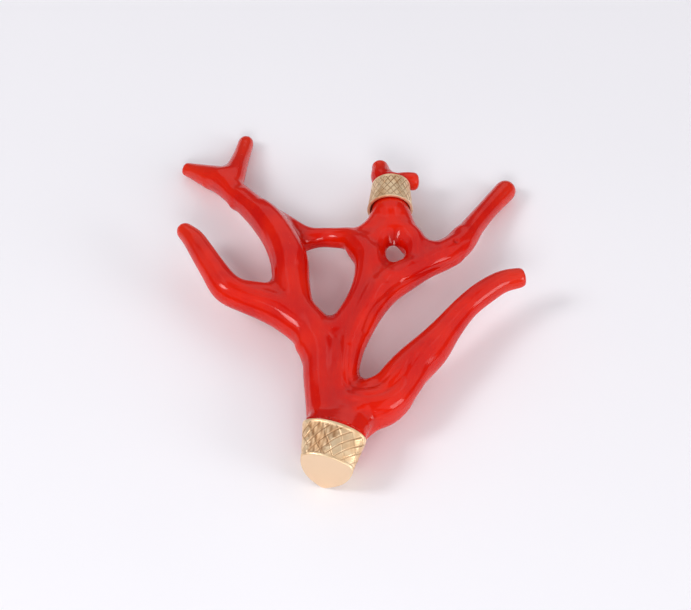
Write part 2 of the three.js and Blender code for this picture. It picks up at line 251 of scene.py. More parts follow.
@dataclass(frozen=True)
class CoralFinish:
    """Polished precious coral: deep red, glassy, a little translucent."""

    deep: Colour = colour(204, 12, 2)
    bright: Colour = colour(224, 30, 5)
    tip: Colour = colour(234, 60, 30)
    # Painted shade: the deeper red laid into creases, grooves and pits.
    shaded_hollow: Colour = colour(168, 4, 1)
    tip_share: float = 0.6
    painted_shade_share: float = 0.8
    mottle: Pattern = Pattern(0.11, 3.0, 0.55, (0.35, 0.68))
    grain: Pattern = Pattern(1.3, 3.0, 0.6, stretch=(1.0, 0.22, 1.0))
    streaks: tuple[float, float] = (0.52, 0.7)
    streak_share: float = 0.35
    pits: Pattern = Pattern(2.6, 1.0, 0.4, (0.2, 0.28))
    smears: Pattern = Pattern(0.4, 4.0, 0.6)
    roughness: float = 0.095
    smear_roughness: float = 0.04
    pit_roughness: float = 0.2
    grain_height: float = 0.12
    relief: float = 0.25
    relief_depth: float = 0.04
    ior: float = 1.38
    glow: float = 0.14
    glow_colours: Point3 = (1.0, 0.12, 0.06)
    glow_depth: float = 1.0

    def material(self, name: str) -> bpy.types.Material:
        """Makes the material.

        Args:
            name: The material's name.

        Returns:
            The material.
        """
        shader = Shader(name)
        grain = self.grain.on(shader)
        pits = self.pits.on(shader)
        tint = shader.mix(self.mottle.on(shader), self.deep, self.bright)
        tint = shader.mix(grain.step(*self.streaks) * self.streak_share, tint, self.bright)
        tint = shader.mix(shader.attribute("tip") * self.tip_share, tint, self.tip)
        # Painted shade: deeper red in creases, grooves and pits.
        tint = shader.mix(shader.attribute("shaded_hollow") * self.painted_shade_share, tint, self.shaded_hollow)
        smears = self.smears.on(shader) * self.smear_roughness
        return shader.finish(
            Base_Color=tint,
            Roughness=self.roughness + smears + (1 - pits) * self.pit_roughness,
            Normal=shader.bump(pits + grain * self.grain_height, self.relief, self.relief_depth),
            IOR=self.ior,
            Subsurface_Weight=self.glow,
            Subsurface_Radius=self.glow_colours,
            Subsurface_Scale=self.glow_depth * METRES,
        )


@dataclass(frozen=True)
class GoldFinish:
    """Hand-worked pale gold, with painted shade in its engraved lines and painted reflections in brown
    patches.
    """

    face: Colour = colour(252, 224, 184)
    warm: Colour = colour(246, 206, 160)
    # Painted reflection: brown stands for the dark reflections of tilted facets and of the cap's upper
    # left.
    brown: Colour = colour(196, 144, 88)
    # Painted shade in the engraved lines, and painted reflection in the cap's brown patch.
    painted_darkening: Colour = colour(140, 88, 42)
    plate: Colour = colour(244, 214, 180)
    painted_darkening_share: float = 0.85
    clouds: Pattern = Pattern(0.45, 2.0, 0.5, (0.35, 0.7))
    painted_reflection_patches: Pattern = Pattern(0.42, 1.0, 0.4, (0.54, 0.6), (1.0, 0.35, 1.0))
    patch_share: float = 0.3
    scratches: Pattern = Pattern(2.2, 3.0, 0.65, stretch=(1.0, 6.0, 1.0))
    scratch_strength: float = 0.2
    scratch_depth: float = 0.02
    tarnish_and_painted_reflection: Pattern = Pattern(1.4, 3.0, 0.6)
    metallic: float = 0.66
    roughness: float = 0.3
    groove_roughness: float = 0.18
    plate_roughness: float = 0.14
    tarnish_roughness: float = 0.1

    def material(self, name: str) -> bpy.types.Material:
        """Makes the material.

        Args:
            name: The material's name.

        Returns:
            The material.
        """
        shader = Shader(name)
        engraved = shader.attribute("painted_darkening")
        smooth = shader.attribute("plate")
        tint = shader.mix(self.clouds.on(shader), self.face, self.warm)
        # Painted reflection: brown patches stand in for the dark reflections of tilted facets.
        tint = shader.mix(self.painted_reflection_patches.on(shader) * self.patch_share, tint, self.brown)
        # Painted shade in the engraved lines and painted reflection in the cap's brown patch, from one
        # stored value.
        tint = shader.mix(engraved * self.painted_darkening_share, tint, self.painted_darkening)
        tint = shader.mix(smooth, tint, self.plate)
        duller = engraved * self.groove_roughness + smooth * self.plate_roughness
        tarnish_and_painted_reflection = self.tarnish_and_painted_reflection.on(shader) * self.tarnish_roughness
        return shader.finish(
            Base_Color=tint,
            Metallic=self.metallic,
            Roughness=self.roughness + duller + tarnish_and_painted_reflection,
            Normal=shader.bump(self.scratches.on(shader), self.scratch_strength, self.scratch_depth),
        )


@dataclass(frozen=True)
class FloorFinish:
    """Plain pale studio paper."""

    paper: Colour = colour(250, 249, 253)
    shade: Colour = colour(247, 246, 250)
    clouds: Pattern = Pattern(0.02, 2.0, 0.5)
    roughness: float = 0.55
    ior: float = 1.3

    def material(self, name: str) -> bpy.types.Material:
        """Makes the material.

        Args:
            name: The material's name.

        Returns:
            The material.
        """
        shader = Shader(name)
        tint = shader.mix(self.clouds.on(shader), self.paper, self.shade)
        return shader.finish(Base_Color=tint, Roughness=self.roughness, IOR=self.ior)


# Shapes


@dataclass(frozen=True)
class Plane:
    """A cutting plane. What its normal points at is kept."""

    point: Point3
    normal: Point3


@dataclass(frozen=True)
class Route:
    """A branch's centre line through points of x, y, z and radius.

    Its ends are round at a bluntness of 1 and squarer below it.
    """

    points: tuple[Point4, ...]
    bluntness: float = 1.0

    def _piece(self, share: float) -> tuple[list[Vector], list[float], float]:
        """The stretch of the route that holds a share of it.

        Args:
            share: The share, from 0 to 1.

        Returns:
            The four points round it, their radii, and the place between the middle two.
        """
        last = len(self.points) - 1
        at = min(max(share, 0.0), 1.0) * last
        start = min(int(at), last - 1)
        spots = [Vector(point[:3]) for point in self.points]
        radii = [point[3] for point in self.points]
        before = spots[start - 1] if start else spots[0] * 2 - spots[1]
        thin = radii[start - 1] if start else radii[0] * 2 - radii[1]
        if start + 2 <= last:
            after, thick = spots[start + 2], radii[start + 2]
        else:
            after = spots[last] * 2 - spots[last - 1]
            thick = radii[last] * 2 - radii[last - 1]
        return (
            [before, spots[start], spots[start + 1], after],
            [thin, radii[start], radii[start + 1], thick],
            at - start,
        )

    def at(self, share: float) -> Vector:
        """The centre, on a centripetal curve through the route's points.

        Args:
            share: The share of the route.

        Returns:
            The centre there.
        """
        (before, low, high, after), _, place = self._piece(share)
        gaps = [math.sqrt((one - two).length) for one, two in ((before, low), (low, high), (high, after))]
        gaps[1] = gaps[1] or 1.0
        gaps[0] = gaps[0] or gaps[1]
        gaps[2] = gaps[2] or gaps[1]
        enter = (low - before) / gaps[0] - (high - before) / (gaps[0] + gaps[1]) + (high - low) / gaps[1]
        leave = (high - low) / gaps[1] - (after - low) / (gaps[1] + gaps[2]) + (after - high) / gaps[2]
        enter, leave = enter * gaps[1], leave * gaps[1]
        square = low * -3 + high * 3 - enter * 2 - leave
        cube = low * 2 - high * 2 + enter + leave
        return low + enter * place + square * place**2 + cube * place**3

    def radius(self, share: float) -> float:
        """The radius, on a smooth curve through the radii of the route's points.

        Args:
            share: The share of the route.

        Returns:
            The radius there.
        """
        _, (before, low, high, after), place = self._piece(share)
        enter, leave = (high - before) / 2, (after - low) / 2
        square = -3 * low + 3 * high - 2 * enter - leave
        cube = 2 * low - 2 * high + enter + leave
        return low + enter * place + square * place**2 + cube * place**3

    def heading(self, share: float) -> Vector:
        """The direction of the route at a share of it."""
        ahead = self.at(min(share + NUDGE, 1.0)) - self.at(max(share - NUDGE, 0.0))
        return ahead.normalized()

    def length(self) -> float:
        """The route's rough length."""
        spots = [Vector(point[:3]) for point in self.points]
        return sum((one - two).length for one, two in zip(spots, spots[1:]))

    def samples(self, gap: float) -> list[tuple[Vector, float, float]]:
        """Centres, radii and shares along the route, about a gap apart."""
        count = max(FEWEST_STEPS, math.ceil(self.length() / gap))
        return [(self.at(i / count), self.radius(i / count), i / count) for i in range(count + 1)]


def wrapped_grid(rings: int, sides: int, place: Callable[[int, int], Vector]) -> bmesh.types.BMesh:
    """Wraps a grid into a closed skin.

    Args:
        rings: Rings of points from one end to the other.
        sides: Points in a ring.
        place: Gives the position of a point by its ring and its side.

    Returns:
        The skin, with its seam and its ends merged.
    """
    skin = bmesh.new()
    bmesh.ops.create_grid(skin, x_segments=sides, y_segments=rings - 1, size=1.0)
    for vert in skin.verts:
        side = round((vert.co.x + 1) / 2 * sides)
        ring = round((vert.co.y + 1) / 2 * (rings - 1))
        vert.co = place(ring, side % sides)
    bmesh.ops.remove_doubles(skin, verts=skin.verts[:], dist=MERGE)
    bmesh.ops.recalc_face_normals(skin, faces=skin.faces[:])
    return skin


DOME_ANGLES = (90, 80, 66, 50, 34, 18)  # the rings of a domed end, from its pole


def tube(route: Route, swell: float, sides: int = 36, gap: float = 0.7) -> bmesh.types.BMesh:
    """A round branch along a route, domed at both ends.

    Args:
        route: The centre line with its radii.
        swell: How much thicker it is made all round.
        sides: Points round it.
        gap: Space between its rings.

    Returns:
        The closed branch.
    """

    def dome(share: float) -> list[tuple[Vector, Vector, float]]:
        """The shrinking rings beyond an end.

        Args:
            share: The end, 0 or 1.

        Returns:
            Each ring's centre, heading and radius, from the outermost.
        """
        heading, thick = route.heading(share), route.radius(share)
        outward = heading if share else -heading
        rings = []
        for angle in DOME_ANGLES:
            turn = math.radians(angle)
            out = thick * route.bluntness * math.sin(turn) + swell * math.sin(turn)
            wide = (thick + swell) * math.cos(turn) ** route.bluntness
            rings.append((route.at(share) + outward * out, heading, max(wide, 0.0)))
        return rings

    middle = [(centre, route.heading(at), radius + swell) for centre, radius, at in route.samples(gap)]
    stations = [*dome(0.0), *middle, *reversed(dome(1.0))]

    def place(ring: int, side: int) -> Vector:
        """The point of a ring at a side.

        Args:
            ring: The ring's number.
            side: The side's number.

        Returns:
            The point.
        """
        centre, heading, radius = stations[ring]
        across = UP.cross(heading).normalized()
        over = heading.cross(across)
        turn = TURN * side / sides
        return centre + across * (radius * math.cos(turn)) + over * (radius * math.sin(turn))

    return wrapped_grid(len(stations), sides, place)


def trimmed(skin: bmesh.types.BMesh, plane: Plane, swell: float) -> bmesh.types.BMesh:
    """Cuts a closed skin at a plane and closes the cut.

    Args:
        skin: The skin, which is changed.
        plane: The plane. What its normal points at stays.
        swell: How far beyond the plane the cut is made.

    Returns:
        The same skin.
    """
    geometry = skin.verts[:] + skin.edges[:] + skin.faces[:]
    spot = Vector(plane.point) - Vector(plane.normal) * swell
    bmesh.ops.bisect_plane(
        skin, geom=geometry, plane_co=spot, plane_no=plane.normal, clear_inner=True
    )
    rim = [edge for edge in skin.edges if edge.is_boundary]
    if rim:
        bmesh.ops.holes_fill(skin, edges=rim, sides=0)
        bmesh.ops.recalc_face_normals(skin, faces=skin.faces[:])
    return skin


@dataclass(frozen=True)
class Section:
    """An upright section of a fitting, measured from its widest line.

    It is flatter above than below and may have a small lobe underneath that leans left.
    """

    x: float
    y: float
    z: float
    half_width: float
    top: float
    bottom: float
    lobe: float = 0.0
    yaw: float = 0.0

    LOBE_WIDTH = math.radians(16)
    LOBE_LEAN = 0.7

    def toward(self, other: "Section", share: float) -> "Section":
        """The section at a share of the way to another."""
        names = [item.name for item in fields(self)]
        return Section(*(getattr(self, n) * (1 - share) + getattr(other, n) * share for n in names))

    def point(self, turn: float, inset: float = 0.0, shrink: float = 1.0) -> Vector:
        """A point on the section.

        Args:
            turn: The angle from its left end, over the top.
            inset: How far it is drawn in.
            shrink: A share of the way from its middle.

        Returns:
            The point.
        """
        left = Vector((-math.cos(self.yaw), math.sin(self.yaw), 0.0))
        height = self.top if math.sin(turn) > 0 else self.bottom
        from_bottom = (turn % TURN - 0.75 * TURN) / self.LOBE_WIDTH
        lobe = self.lobe * math.exp(-from_bottom * from_bottom)
        lean = self.LOBE_LEAN * max(0.0, -math.sin(turn)) if self.lobe > 0 else 0.0
        aside = (self.half_width - inset) * math.cos(turn) + lean
        rise = (height - inset) * math.sin(turn) - lobe
        return self.middle() + (left * aside + UP * (rise - self._sag())) * shrink + UP * self._sag()

    def _sag(self) -> float:
        """How far the section's middle lies from its widest line."""
        return (self.top - self.bottom) / 2

    def middle(self) -> Vector:
        """The middle of the section's widest line."""
        return Vector((self.x, self.y, self.z))


def filled(
    stations: Sequence[tuple[Section, float]], swell: float, sides: int = 72
) -> bmesh.types.BMesh:
    """A closed solid through sections, each drawn in by an inset.

    Args:
        stations: The sections and their insets, from one end to the other.
        swell: How much bigger it is made all round.
        sides: Points in each.

    Returns:
        The closed solid, with flat ends.
    """
    first, last = stations[0][0], stations[-1][0]
    stretch = swell / (last.middle() - first.middle()).length
    ends = [(first.toward(last, -stretch), stations[0][1]), (last.toward(first, -stretch), stations[-1][1])]
    swollen = [(one, inset - swell) for one, inset in (ends[0], *stations[1:-1], ends[1])]
    runs = [(*swollen[0], 0.0), *((*one, 1.0) for one in swollen), (*swollen[-1], 0.0)]

    def place(ring: int, side: int) -> Vector:
        """The point of a ring at a side."""
        section, inset, shrink = runs[ring]
        return section.point(TURN * side / sides, inset, shrink)

    return wrapped_grid(len(runs), sides, place)


# Pieces


class Slot(Enum):
    """The record's material slots."""

    CORAL = "coral"
    GOLD = "gold"


class Piece:
    """Something that is built as a mesh and hung on the frame."""

    name: str
    slot: Slot
    stands_for: tuple[str, ...]

    def publish(
        self, mesh: bpy.types.Mesh, material: bpy.types.Material, values: dict[str, np.ndarray]
    ) -> bpy.types.Object:
        """Hands a finished mesh to the frame.

        Args:
            mesh: The mesh, in millimetres.
            material: Its material.
            values: What its material reads, by name, one number for each point.

        Returns:
            The piece's object.
        """
        mesh.transform(Matrix.Scale(METRES, 4))
        mesh.name = self.name
        mesh.polygons.foreach_set("use_smooth", [True] * len(mesh.polygons))
        for label, numbers in values.items():
            layer = mesh.attributes.new(label, "FLOAT", "POINT")
            layer.data.foreach_set("value", numbers.astype(np.float32))
        mesh.materials.clear()
        mesh.materials.append(material)
        piece = bpy.data.objects.new(self.name, mesh)
        bpy.context.scene.collection.objects.link(piece)
        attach(piece, "root")
        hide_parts(*self.stands_for)
        triangles = sum(len(face.vertices) - 2 for face in mesh.polygons)
        LOG.info("%s: %d triangles for %s", self.name, triangles, ", ".join(self.stands_for))
        return piece


# The fittings and the places where the coral meets them

CAP_YAW = math.radians(19)
CAP_END = Section(x=-4.15, y=-38.1, z=6.6, half_width=4.5, top=2.05, bottom=6.1, lobe=0.5, yaw=CAP_YAW)
CAP_RIM = Section(x=-2.9, y=-32.4, z=8.0, half_width=5.55, top=2.8, bottom=7.5, lobe=0.5, yaw=CAP_YAW)
SHOULDER = Section(x=-1.3, y=-27.8, z=6.9, half_width=4.8, top=2.0, bottom=4.6, yaw=CAP_YAW)
COLLAR_LOW = Section(x=6.6, y=17.2, z=6.6, half_width=3.96, top=3.96, bottom=3.96)
COLLAR_TOP = Section(x=6.8, y=23.0, z=6.4, half_width=3.32, top=3.32, bottom=3.32)
CAP_LENGTH = (CAP_RIM.middle() - CAP_END.middle()).length
COLLAR_LENGTH = (COLLAR_TOP.middle() - COLLAR_LOW.middle()).length
CAP_WALL = 0.6
COLLAR_WALL = 0.5
FIT_GAP = 0.3
SHOULDER_STEP = 0.03  # above the cap's mouth, where the coral spreads again
SHOULDER_INSET = 0.35
HALF_SAW_CUT = FIT_GAP / 2 / COLLAR_LENGTH  # as a share of the collar's length

CAP_CUT = Plane((-3.0, -32.1, 8.0), (math.sin(CAP_YAW), math.cos(CAP_YAW), 0.0))
COLLAR_LOW_CUT = Plane((6.5, 16.9, 6.6), (0.0, -1.0, 0.0))
COLLAR_TOP_CUT = Plane((6.8, 23.3, 6.4), (0.0, 1.0, 0.0))

# Centre lines of the branches, and of the webs and swellings where they meet

STEM_TO_LEFT_TIP = Route((
    (-3.0, -31.6, 5.4, 4.4), (-3.7, -28.5, 5.5, 3.9), (-4.4, -24.1, 5.7, 3.4),
    (-4.85, -19.6, 6.0, 3.3), (-5.0, -15.0, 6.4, 3.4), (-6.6, -10.3, 6.9, 3.4),
    (-9.3, -5.6, 7.3, 3.05), (-10.25, -0.5, 7.6, 3.15), (-10.7, 4.7, 7.8, 3.25),
    (-12.3, 9.7, 7.6, 3.05), (-14.6, 14.4, 7.0, 2.85), (-17.4, 18.5, 6.0, 2.35),
    (-20.4, 22.9, 4.8, 2.2), (-22.8, 26.7, 3.6, 2.4), (-25.7, 29.0, 2.5, 1.95),
    (-28.1, 30.9, 1.6, 1.4), (-29.0, 31.5, 1.3, 1.25),
), 0.35)
UP_TIP = Route((
    (-20.0, 20.4, 5.1, 1.5), (-21.0, 24.4, 4.5, 2.05), (-20.5, 28.3, 3.8, 1.95),
    (-19.5, 33.4, 2.6, 1.55), (-18.8, 37.4, 1.7, 1.4),
))
LOWER_LEFT = Route((
    (-5.0, -16.6, 6.2, 3.15), (-7.2, -10.6, 6.8, 3.1), (-10.4, -7.3, 7.1, 3.05),
    (-14.1, -5.0, 7.4, 2.9), (-17.6, -3.6, 7.6, 2.6), (-21.1, -1.5, 7.8, 2.65),
    (-23.6, 2.6, 7.9, 2.3), (-25.5, 6.3, 7.9, 2.1), (-27.1, 9.5, 7.7, 1.9),
    (-28.6, 11.6, 7.4, 1.55),
))
RIGHT_LIMB_TO_TIP = Route((
    (-2.4, -24.4, 6.0, 2.5), (-1.6, -19.4, 6.6, 2.6), (-0.6, -14.0, 7.1, 2.7),
    (0.9, -9.8, 7.4, 2.8), (2.8, -5.4, 7.7, 3.0), (5.3, -1.5, 7.7, 3.1),
    (8.65, 1.5, 7.4, 2.8), (12.4, 4.6, 6.9, 2.5), (16.0, 7.5, 6.2, 2.55),
    (18.8, 10.8, 5.4, 2.35), (21.1, 15.5, 4.4, 1.95), (23.8, 20.6, 3.2, 1.8),
    (26.9, 25.8, 2.0, 1.9),
))
LOWER_RIGHT = Route((
    (-1.9, -30.6, 5.2, 3.5), (0.6, -27.8, 5.2, 3.6), (3.2, -25.3, 5.4, 3.5),
    (5.7, -23.8, 5.7, 3.5), (7.3, -21.3, 6.2, 3.6), (10.0, -17.7, 6.6, 3.5),
    (13.2, -14.1, 7.0, 3.2), (16.1, -9.9, 7.4, 2.5), (19.2, -5.8, 7.9, 2.15),
    (22.5, -2.6, 8.2, 2.1), (25.6, -0.4, 8.3, 1.9), (28.35, 0.4, 8.3, 1.75),
), 0.6)
LARGE_OPENING_RIM = Route((
    (-7.0, -12.8, 6.8, 2.65), (-3.7, -11.8, 6.9, 2.95), (-1.2, -9.4, 7.1, 2.7),
    (1.2, -5.1, 7.5, 2.65), (2.8, 0.2, 7.6, 2.6), (3.1, 5.0, 7.4, 2.75),
    (1.5, 8.5, 6.9, 2.6), (-0.3, 10.9, 6.2, 2.05), (-3.0, 11.9, 5.4, 1.75),
    (-6.1, 12.25, 5.0, 1.75), (-9.2, 11.2, 5.0, 1.95), (-11.2, 8.5, 6.0, 1.7),
))
BRIDGE_WEB = Route((
    (-15.8, 18.1, 5.4, 1.3), (-13.6, 16.1, 5.4, 2.05), (-10.9, 14.2, 5.2, 2.05),
    (-7.8, 12.9, 4.9, 1.6), (-3.7, 12.4, 5.2, 1.4),
))
MIDDLE_BRANCH = Route((
    (6.9, 13.2, 6.9, 2.7), (6.8, 14.8, 6.8, 3.2), (6.7, 16.8, 6.7, 3.2), (6.7, 18.5, 6.5, 3.0),
))
MIDDLE_PLATE = Route((
    (3.0, -0.5, 7.3, 2.2), (3.2, 4.0, 7.2, 2.1), (3.4, 8.6, 7.0, 2.1), (4.4, 12.6, 6.8, 2.2),
))
LOWER_RIGHT_KNEE = Route((
    (-1.2, -25.8, 5.6, 3.2), (2.0, -25.8, 5.7, 3.7), (5.0, -25.2, 5.8, 3.6), (7.0, -23.8, 6.0, 3.1),
    (8.2, -21.6, 6.4, 2.9),
))
ARM_CREST = Route((
    (0.8, -27.4, 6.3, 2.2), (2.6, -27.0, 6.8, 2.45), (4.7, -26.5, 6.9, 2.55), (6.6, -25.3, 6.9, 2.45),
    (8.2, -23.3, 6.9, 2.4), (10.1, -20.1, 6.9, 2.3), (12.5, -16.2, 7.1, 2.0), (14.9, -12.5, 7.3, 1.6),
    (17.6, -8.7, 7.6, 1.2),
))
ARM_UNDERSIDE = Route((
    (1.0, -28.6, 5.2, 2.65), (4.0, -26.1, 5.2, 2.75), (6.4, -24.7, 5.4, 2.6),
))
LEFT_TIP_CROTCH = Route((
    (-24.8, 27.7, 2.9, 1.8), (-22.0, 27.0, 4.0, 2.2), (-20.5, 29.0, 3.6, 1.6),
))
LEFT_CROTCH = Route((
    (-18.3, -2.6, 7.4, 2.55), (-15.0, -3.1, 7.4, 2.5), (-11.4, -3.2, 7.5, 2.15), (-10.3, 0.8, 7.6, 2.3),
))
BRIDGE_CROTCH = Route((
    (-1.1, 11.3, 5.8, 1.75), (1.5, 11.1, 6.3, 2.0), (3.95, 12.4, 6.8, 2.3), (5.4, 15.6, 6.8, 2.15),
))
RIGHT_CROTCH = Route((
    (8.0, 16.2, 6.8, 2.15), (8.9, 12.4, 7.0, 2.25), (11.1, 8.2, 6.9, 2.3),
    (14.1, 7.4, 6.5, 2.2), (16.9, 8.9, 5.8, 2.3), (19.4, 12.4, 5.2, 2.2),
))
LOWER_CROTCH = Route((
    (-3.2, -23.4, 5.8, 2.2), (-0.8, -25.1, 5.8, 2.3), (1.7, -24.3, 5.9, 2.75), (4.0, -22.4, 6.0, 2.6),
    (6.3, -20.8, 6.3, 2.15), (8.5, -17.9, 6.6, 1.9),
))


@dataclass(frozen=True)
class RoundHole:
    """The rim of the small round hole in the right limb."""

    x: float = 7.4
    y: float = 6.8
    z: float = 7.3
    radius: float = 3.7
    thickness: float = 2.1
    stretch: float = 1.43
    steps: int = 8

    def point(self, turn: float) -> Point4:
        """A point of the rim's centre line, with its radius."""
        along = self.y + self.radius * self.stretch * math.sin(turn)
        return self.x + self.radius * math.cos(turn), along, self.z, self.thickness

    def half(self, number: int) -> Route:
        """One half of the rim, 0 or 1."""
        turns = [math.pi * (number + i / self.steps) for i in range(self.steps + 1)]
        return Route(tuple(self.point(turn) for turn in turns))


@dataclass(frozen=True)
class Mark:
    """A crease, a pit, a ridge or a lump in the coral, along a short route or at one point."""

    name: str
    points: tuple[Point3, ...]
    depth: float  # above nought goes in, below nought stands out
    width: float
    shade: float  # painted shade: how much deeper the red is in it

    REACH = 3  # widths from the line to where it has no effect

    def nearness(self, spots: np.ndarray) -> np.ndarray:
        """How near each spot is to the mark's line.

        Args:
            spots: The spots, one row for each.

        Returns:
            A number for each, from 0 far off to 1 on the line.
        """
        line = np.array(self.points)
        if len(line) > 1:
            route = Route(tuple((*point, 1.0) for point in self.points))
            line = np.array([spot for spot, _, _ in route.samples(self.width / 2)])
        reach = self.REACH * self.width
        inside = ((spots > line.min(axis=0) - reach) & (spots < line.max(axis=0) + reach)).all(axis=1)
        near = spots[inside]
        best = np.full(len(near), np.inf)
        for point in line:
            best = np.minimum(best, ((near - point) ** 2).sum(axis=1))
        gaps = np.full(len(spots), np.inf)
        gaps[inside] = best
        return np.exp(-gaps / self.width**2)


class Sculptor:
    """Works fine shape into a finished skin by moving its points along their normals."""

    FALL = 1.5  # how fast closeness to an end falls off

    def __init__(self, mesh: bpy.types.Mesh) -> None:
        """Reads the points and the normals of a mesh.

        Args:
            mesh: The mesh, which is changed only when the work is done.
        """
        self.mesh = mesh
        self.spots = self._read("co")
        self.normals = self._read("normal")

    def _read(self, name: str) -> np.ndarray:
        """One of the vectors that every point has.

        Args:
            name: Which one.

        Returns:
            The vectors, one row for each point.
        """
        rows = np.empty(len(self.mesh.vertices) * 3, dtype=np.float64)
        self.mesh.vertices.foreach_get(name, rows)
        return rows.reshape(-1, 3)

    def clouds(self, size: float, seed: float) -> np.ndarray:
        """A smooth random number between about -1 and 1 at every point.

        Args:
            size: The size of a cloud.
            seed: Shifts the pattern.

        Returns:
            The numbers.
        """
        shift = Vector((seed, seed * 1.7, -seed))
        return np.array([noise.noise(Vector(spot) / size + shift) for spot in self.spots])

    def push(self, heights: Union[np.ndarray, float]) -> None:
        """Moves every point along its normal, by its own height or by one for all."""
        self.spots += self.normals * np.reshape(heights, (-1, 1))

    def creases(self, rounds: int) -> np.ndarray:
        """How far each point lies below its neighbours.

        Args:
            rounds: How many rings of neighbours count.

        Returns:
            The depths, in millimetres.
        """
        ends = np.empty(len(self.mesh.edges) * 2, dtype=np.int64)
        self.mesh.edges.foreach_get("vertices", ends)
        one, two = ends.reshape(-1, 2).T
        number = np.bincount(ends, minlength=len(self.spots)).astype(float)

        def around(values: np.ndarray) -> np.ndarray:
            """The mean of the neighbours' values."""
            total = np.bincount(one, values[two], len(values)) + np.bincount(two, values[one], len(values))
            return total / number

        smooth = self.spots.copy()
        for _ in range(rounds):
            smooth = np.column_stack([around(smooth[:, axis]) for axis in range(3)])
        return ((smooth - self.spots) * self.normals).sum(axis=1)

    def closeness(self, ends: Sequence[Point3], reach: float) -> np.ndarray:
        """How close each point is to the nearest of some ends.

        Args:
            ends: The ends.
            reach: How far off an end counts.

        Returns:
            A number for each point, from 0 beyond the reach to 1 at an end.
        """
        gaps = np.min([np.linalg.norm(self.spots - np.array(end), axis=1) for end in ends], axis=0)
        return np.clip(1 - gaps / reach, 0, 1) ** self.FALL

    def done(self) -> None:
        """Writes the points back."""
        self.mesh.vertices.foreach_set("co", self.spots.ravel())
        self.mesh.update()


def fused(parts: Sequence[bmesh.types.BMesh], voxel: float, rounds: int) -> bpy.types.Mesh:
    """Melts overlapping closed skins into one smooth skin.

    Args:
        parts: The skins, which are freed.
        voxel: The size of the cells that the new skin is made from.
        rounds: Rounds of smoothing.

    Returns:
        The new skin.
    """
    together = bmesh.new()
    for part in parts:
        loose = bpy.data.meshes.new("loose")
        part.to_mesh(loose)
        part.free()
        together.from_mesh(loose)
        bpy.data.meshes.remove(loose)
    raw = bpy.data.meshes.new("raw")
    together.to_mesh(raw)
    together.free()
    holder = bpy.data.objects.new("raw", raw)
    bpy.context.scene.collection.objects.link(holder)
    remesh = holder.modifiers.new("melt", "REMESH")
    remesh.mode = "VOXEL"
    remesh.voxel_size = voxel
    soften = holder.modifiers.new("soften", "SMOOTH")
    soften.factor = 0.5
    soften.iterations = rounds
    graph = bpy.context.evaluated_depsgraph_get()
    mesh = bpy.data.meshes.new_from_object(holder.evaluated_get(graph))
    bpy.data.objects.remove(holder)
    bpy.data.meshes.remove(raw)
    return mesh


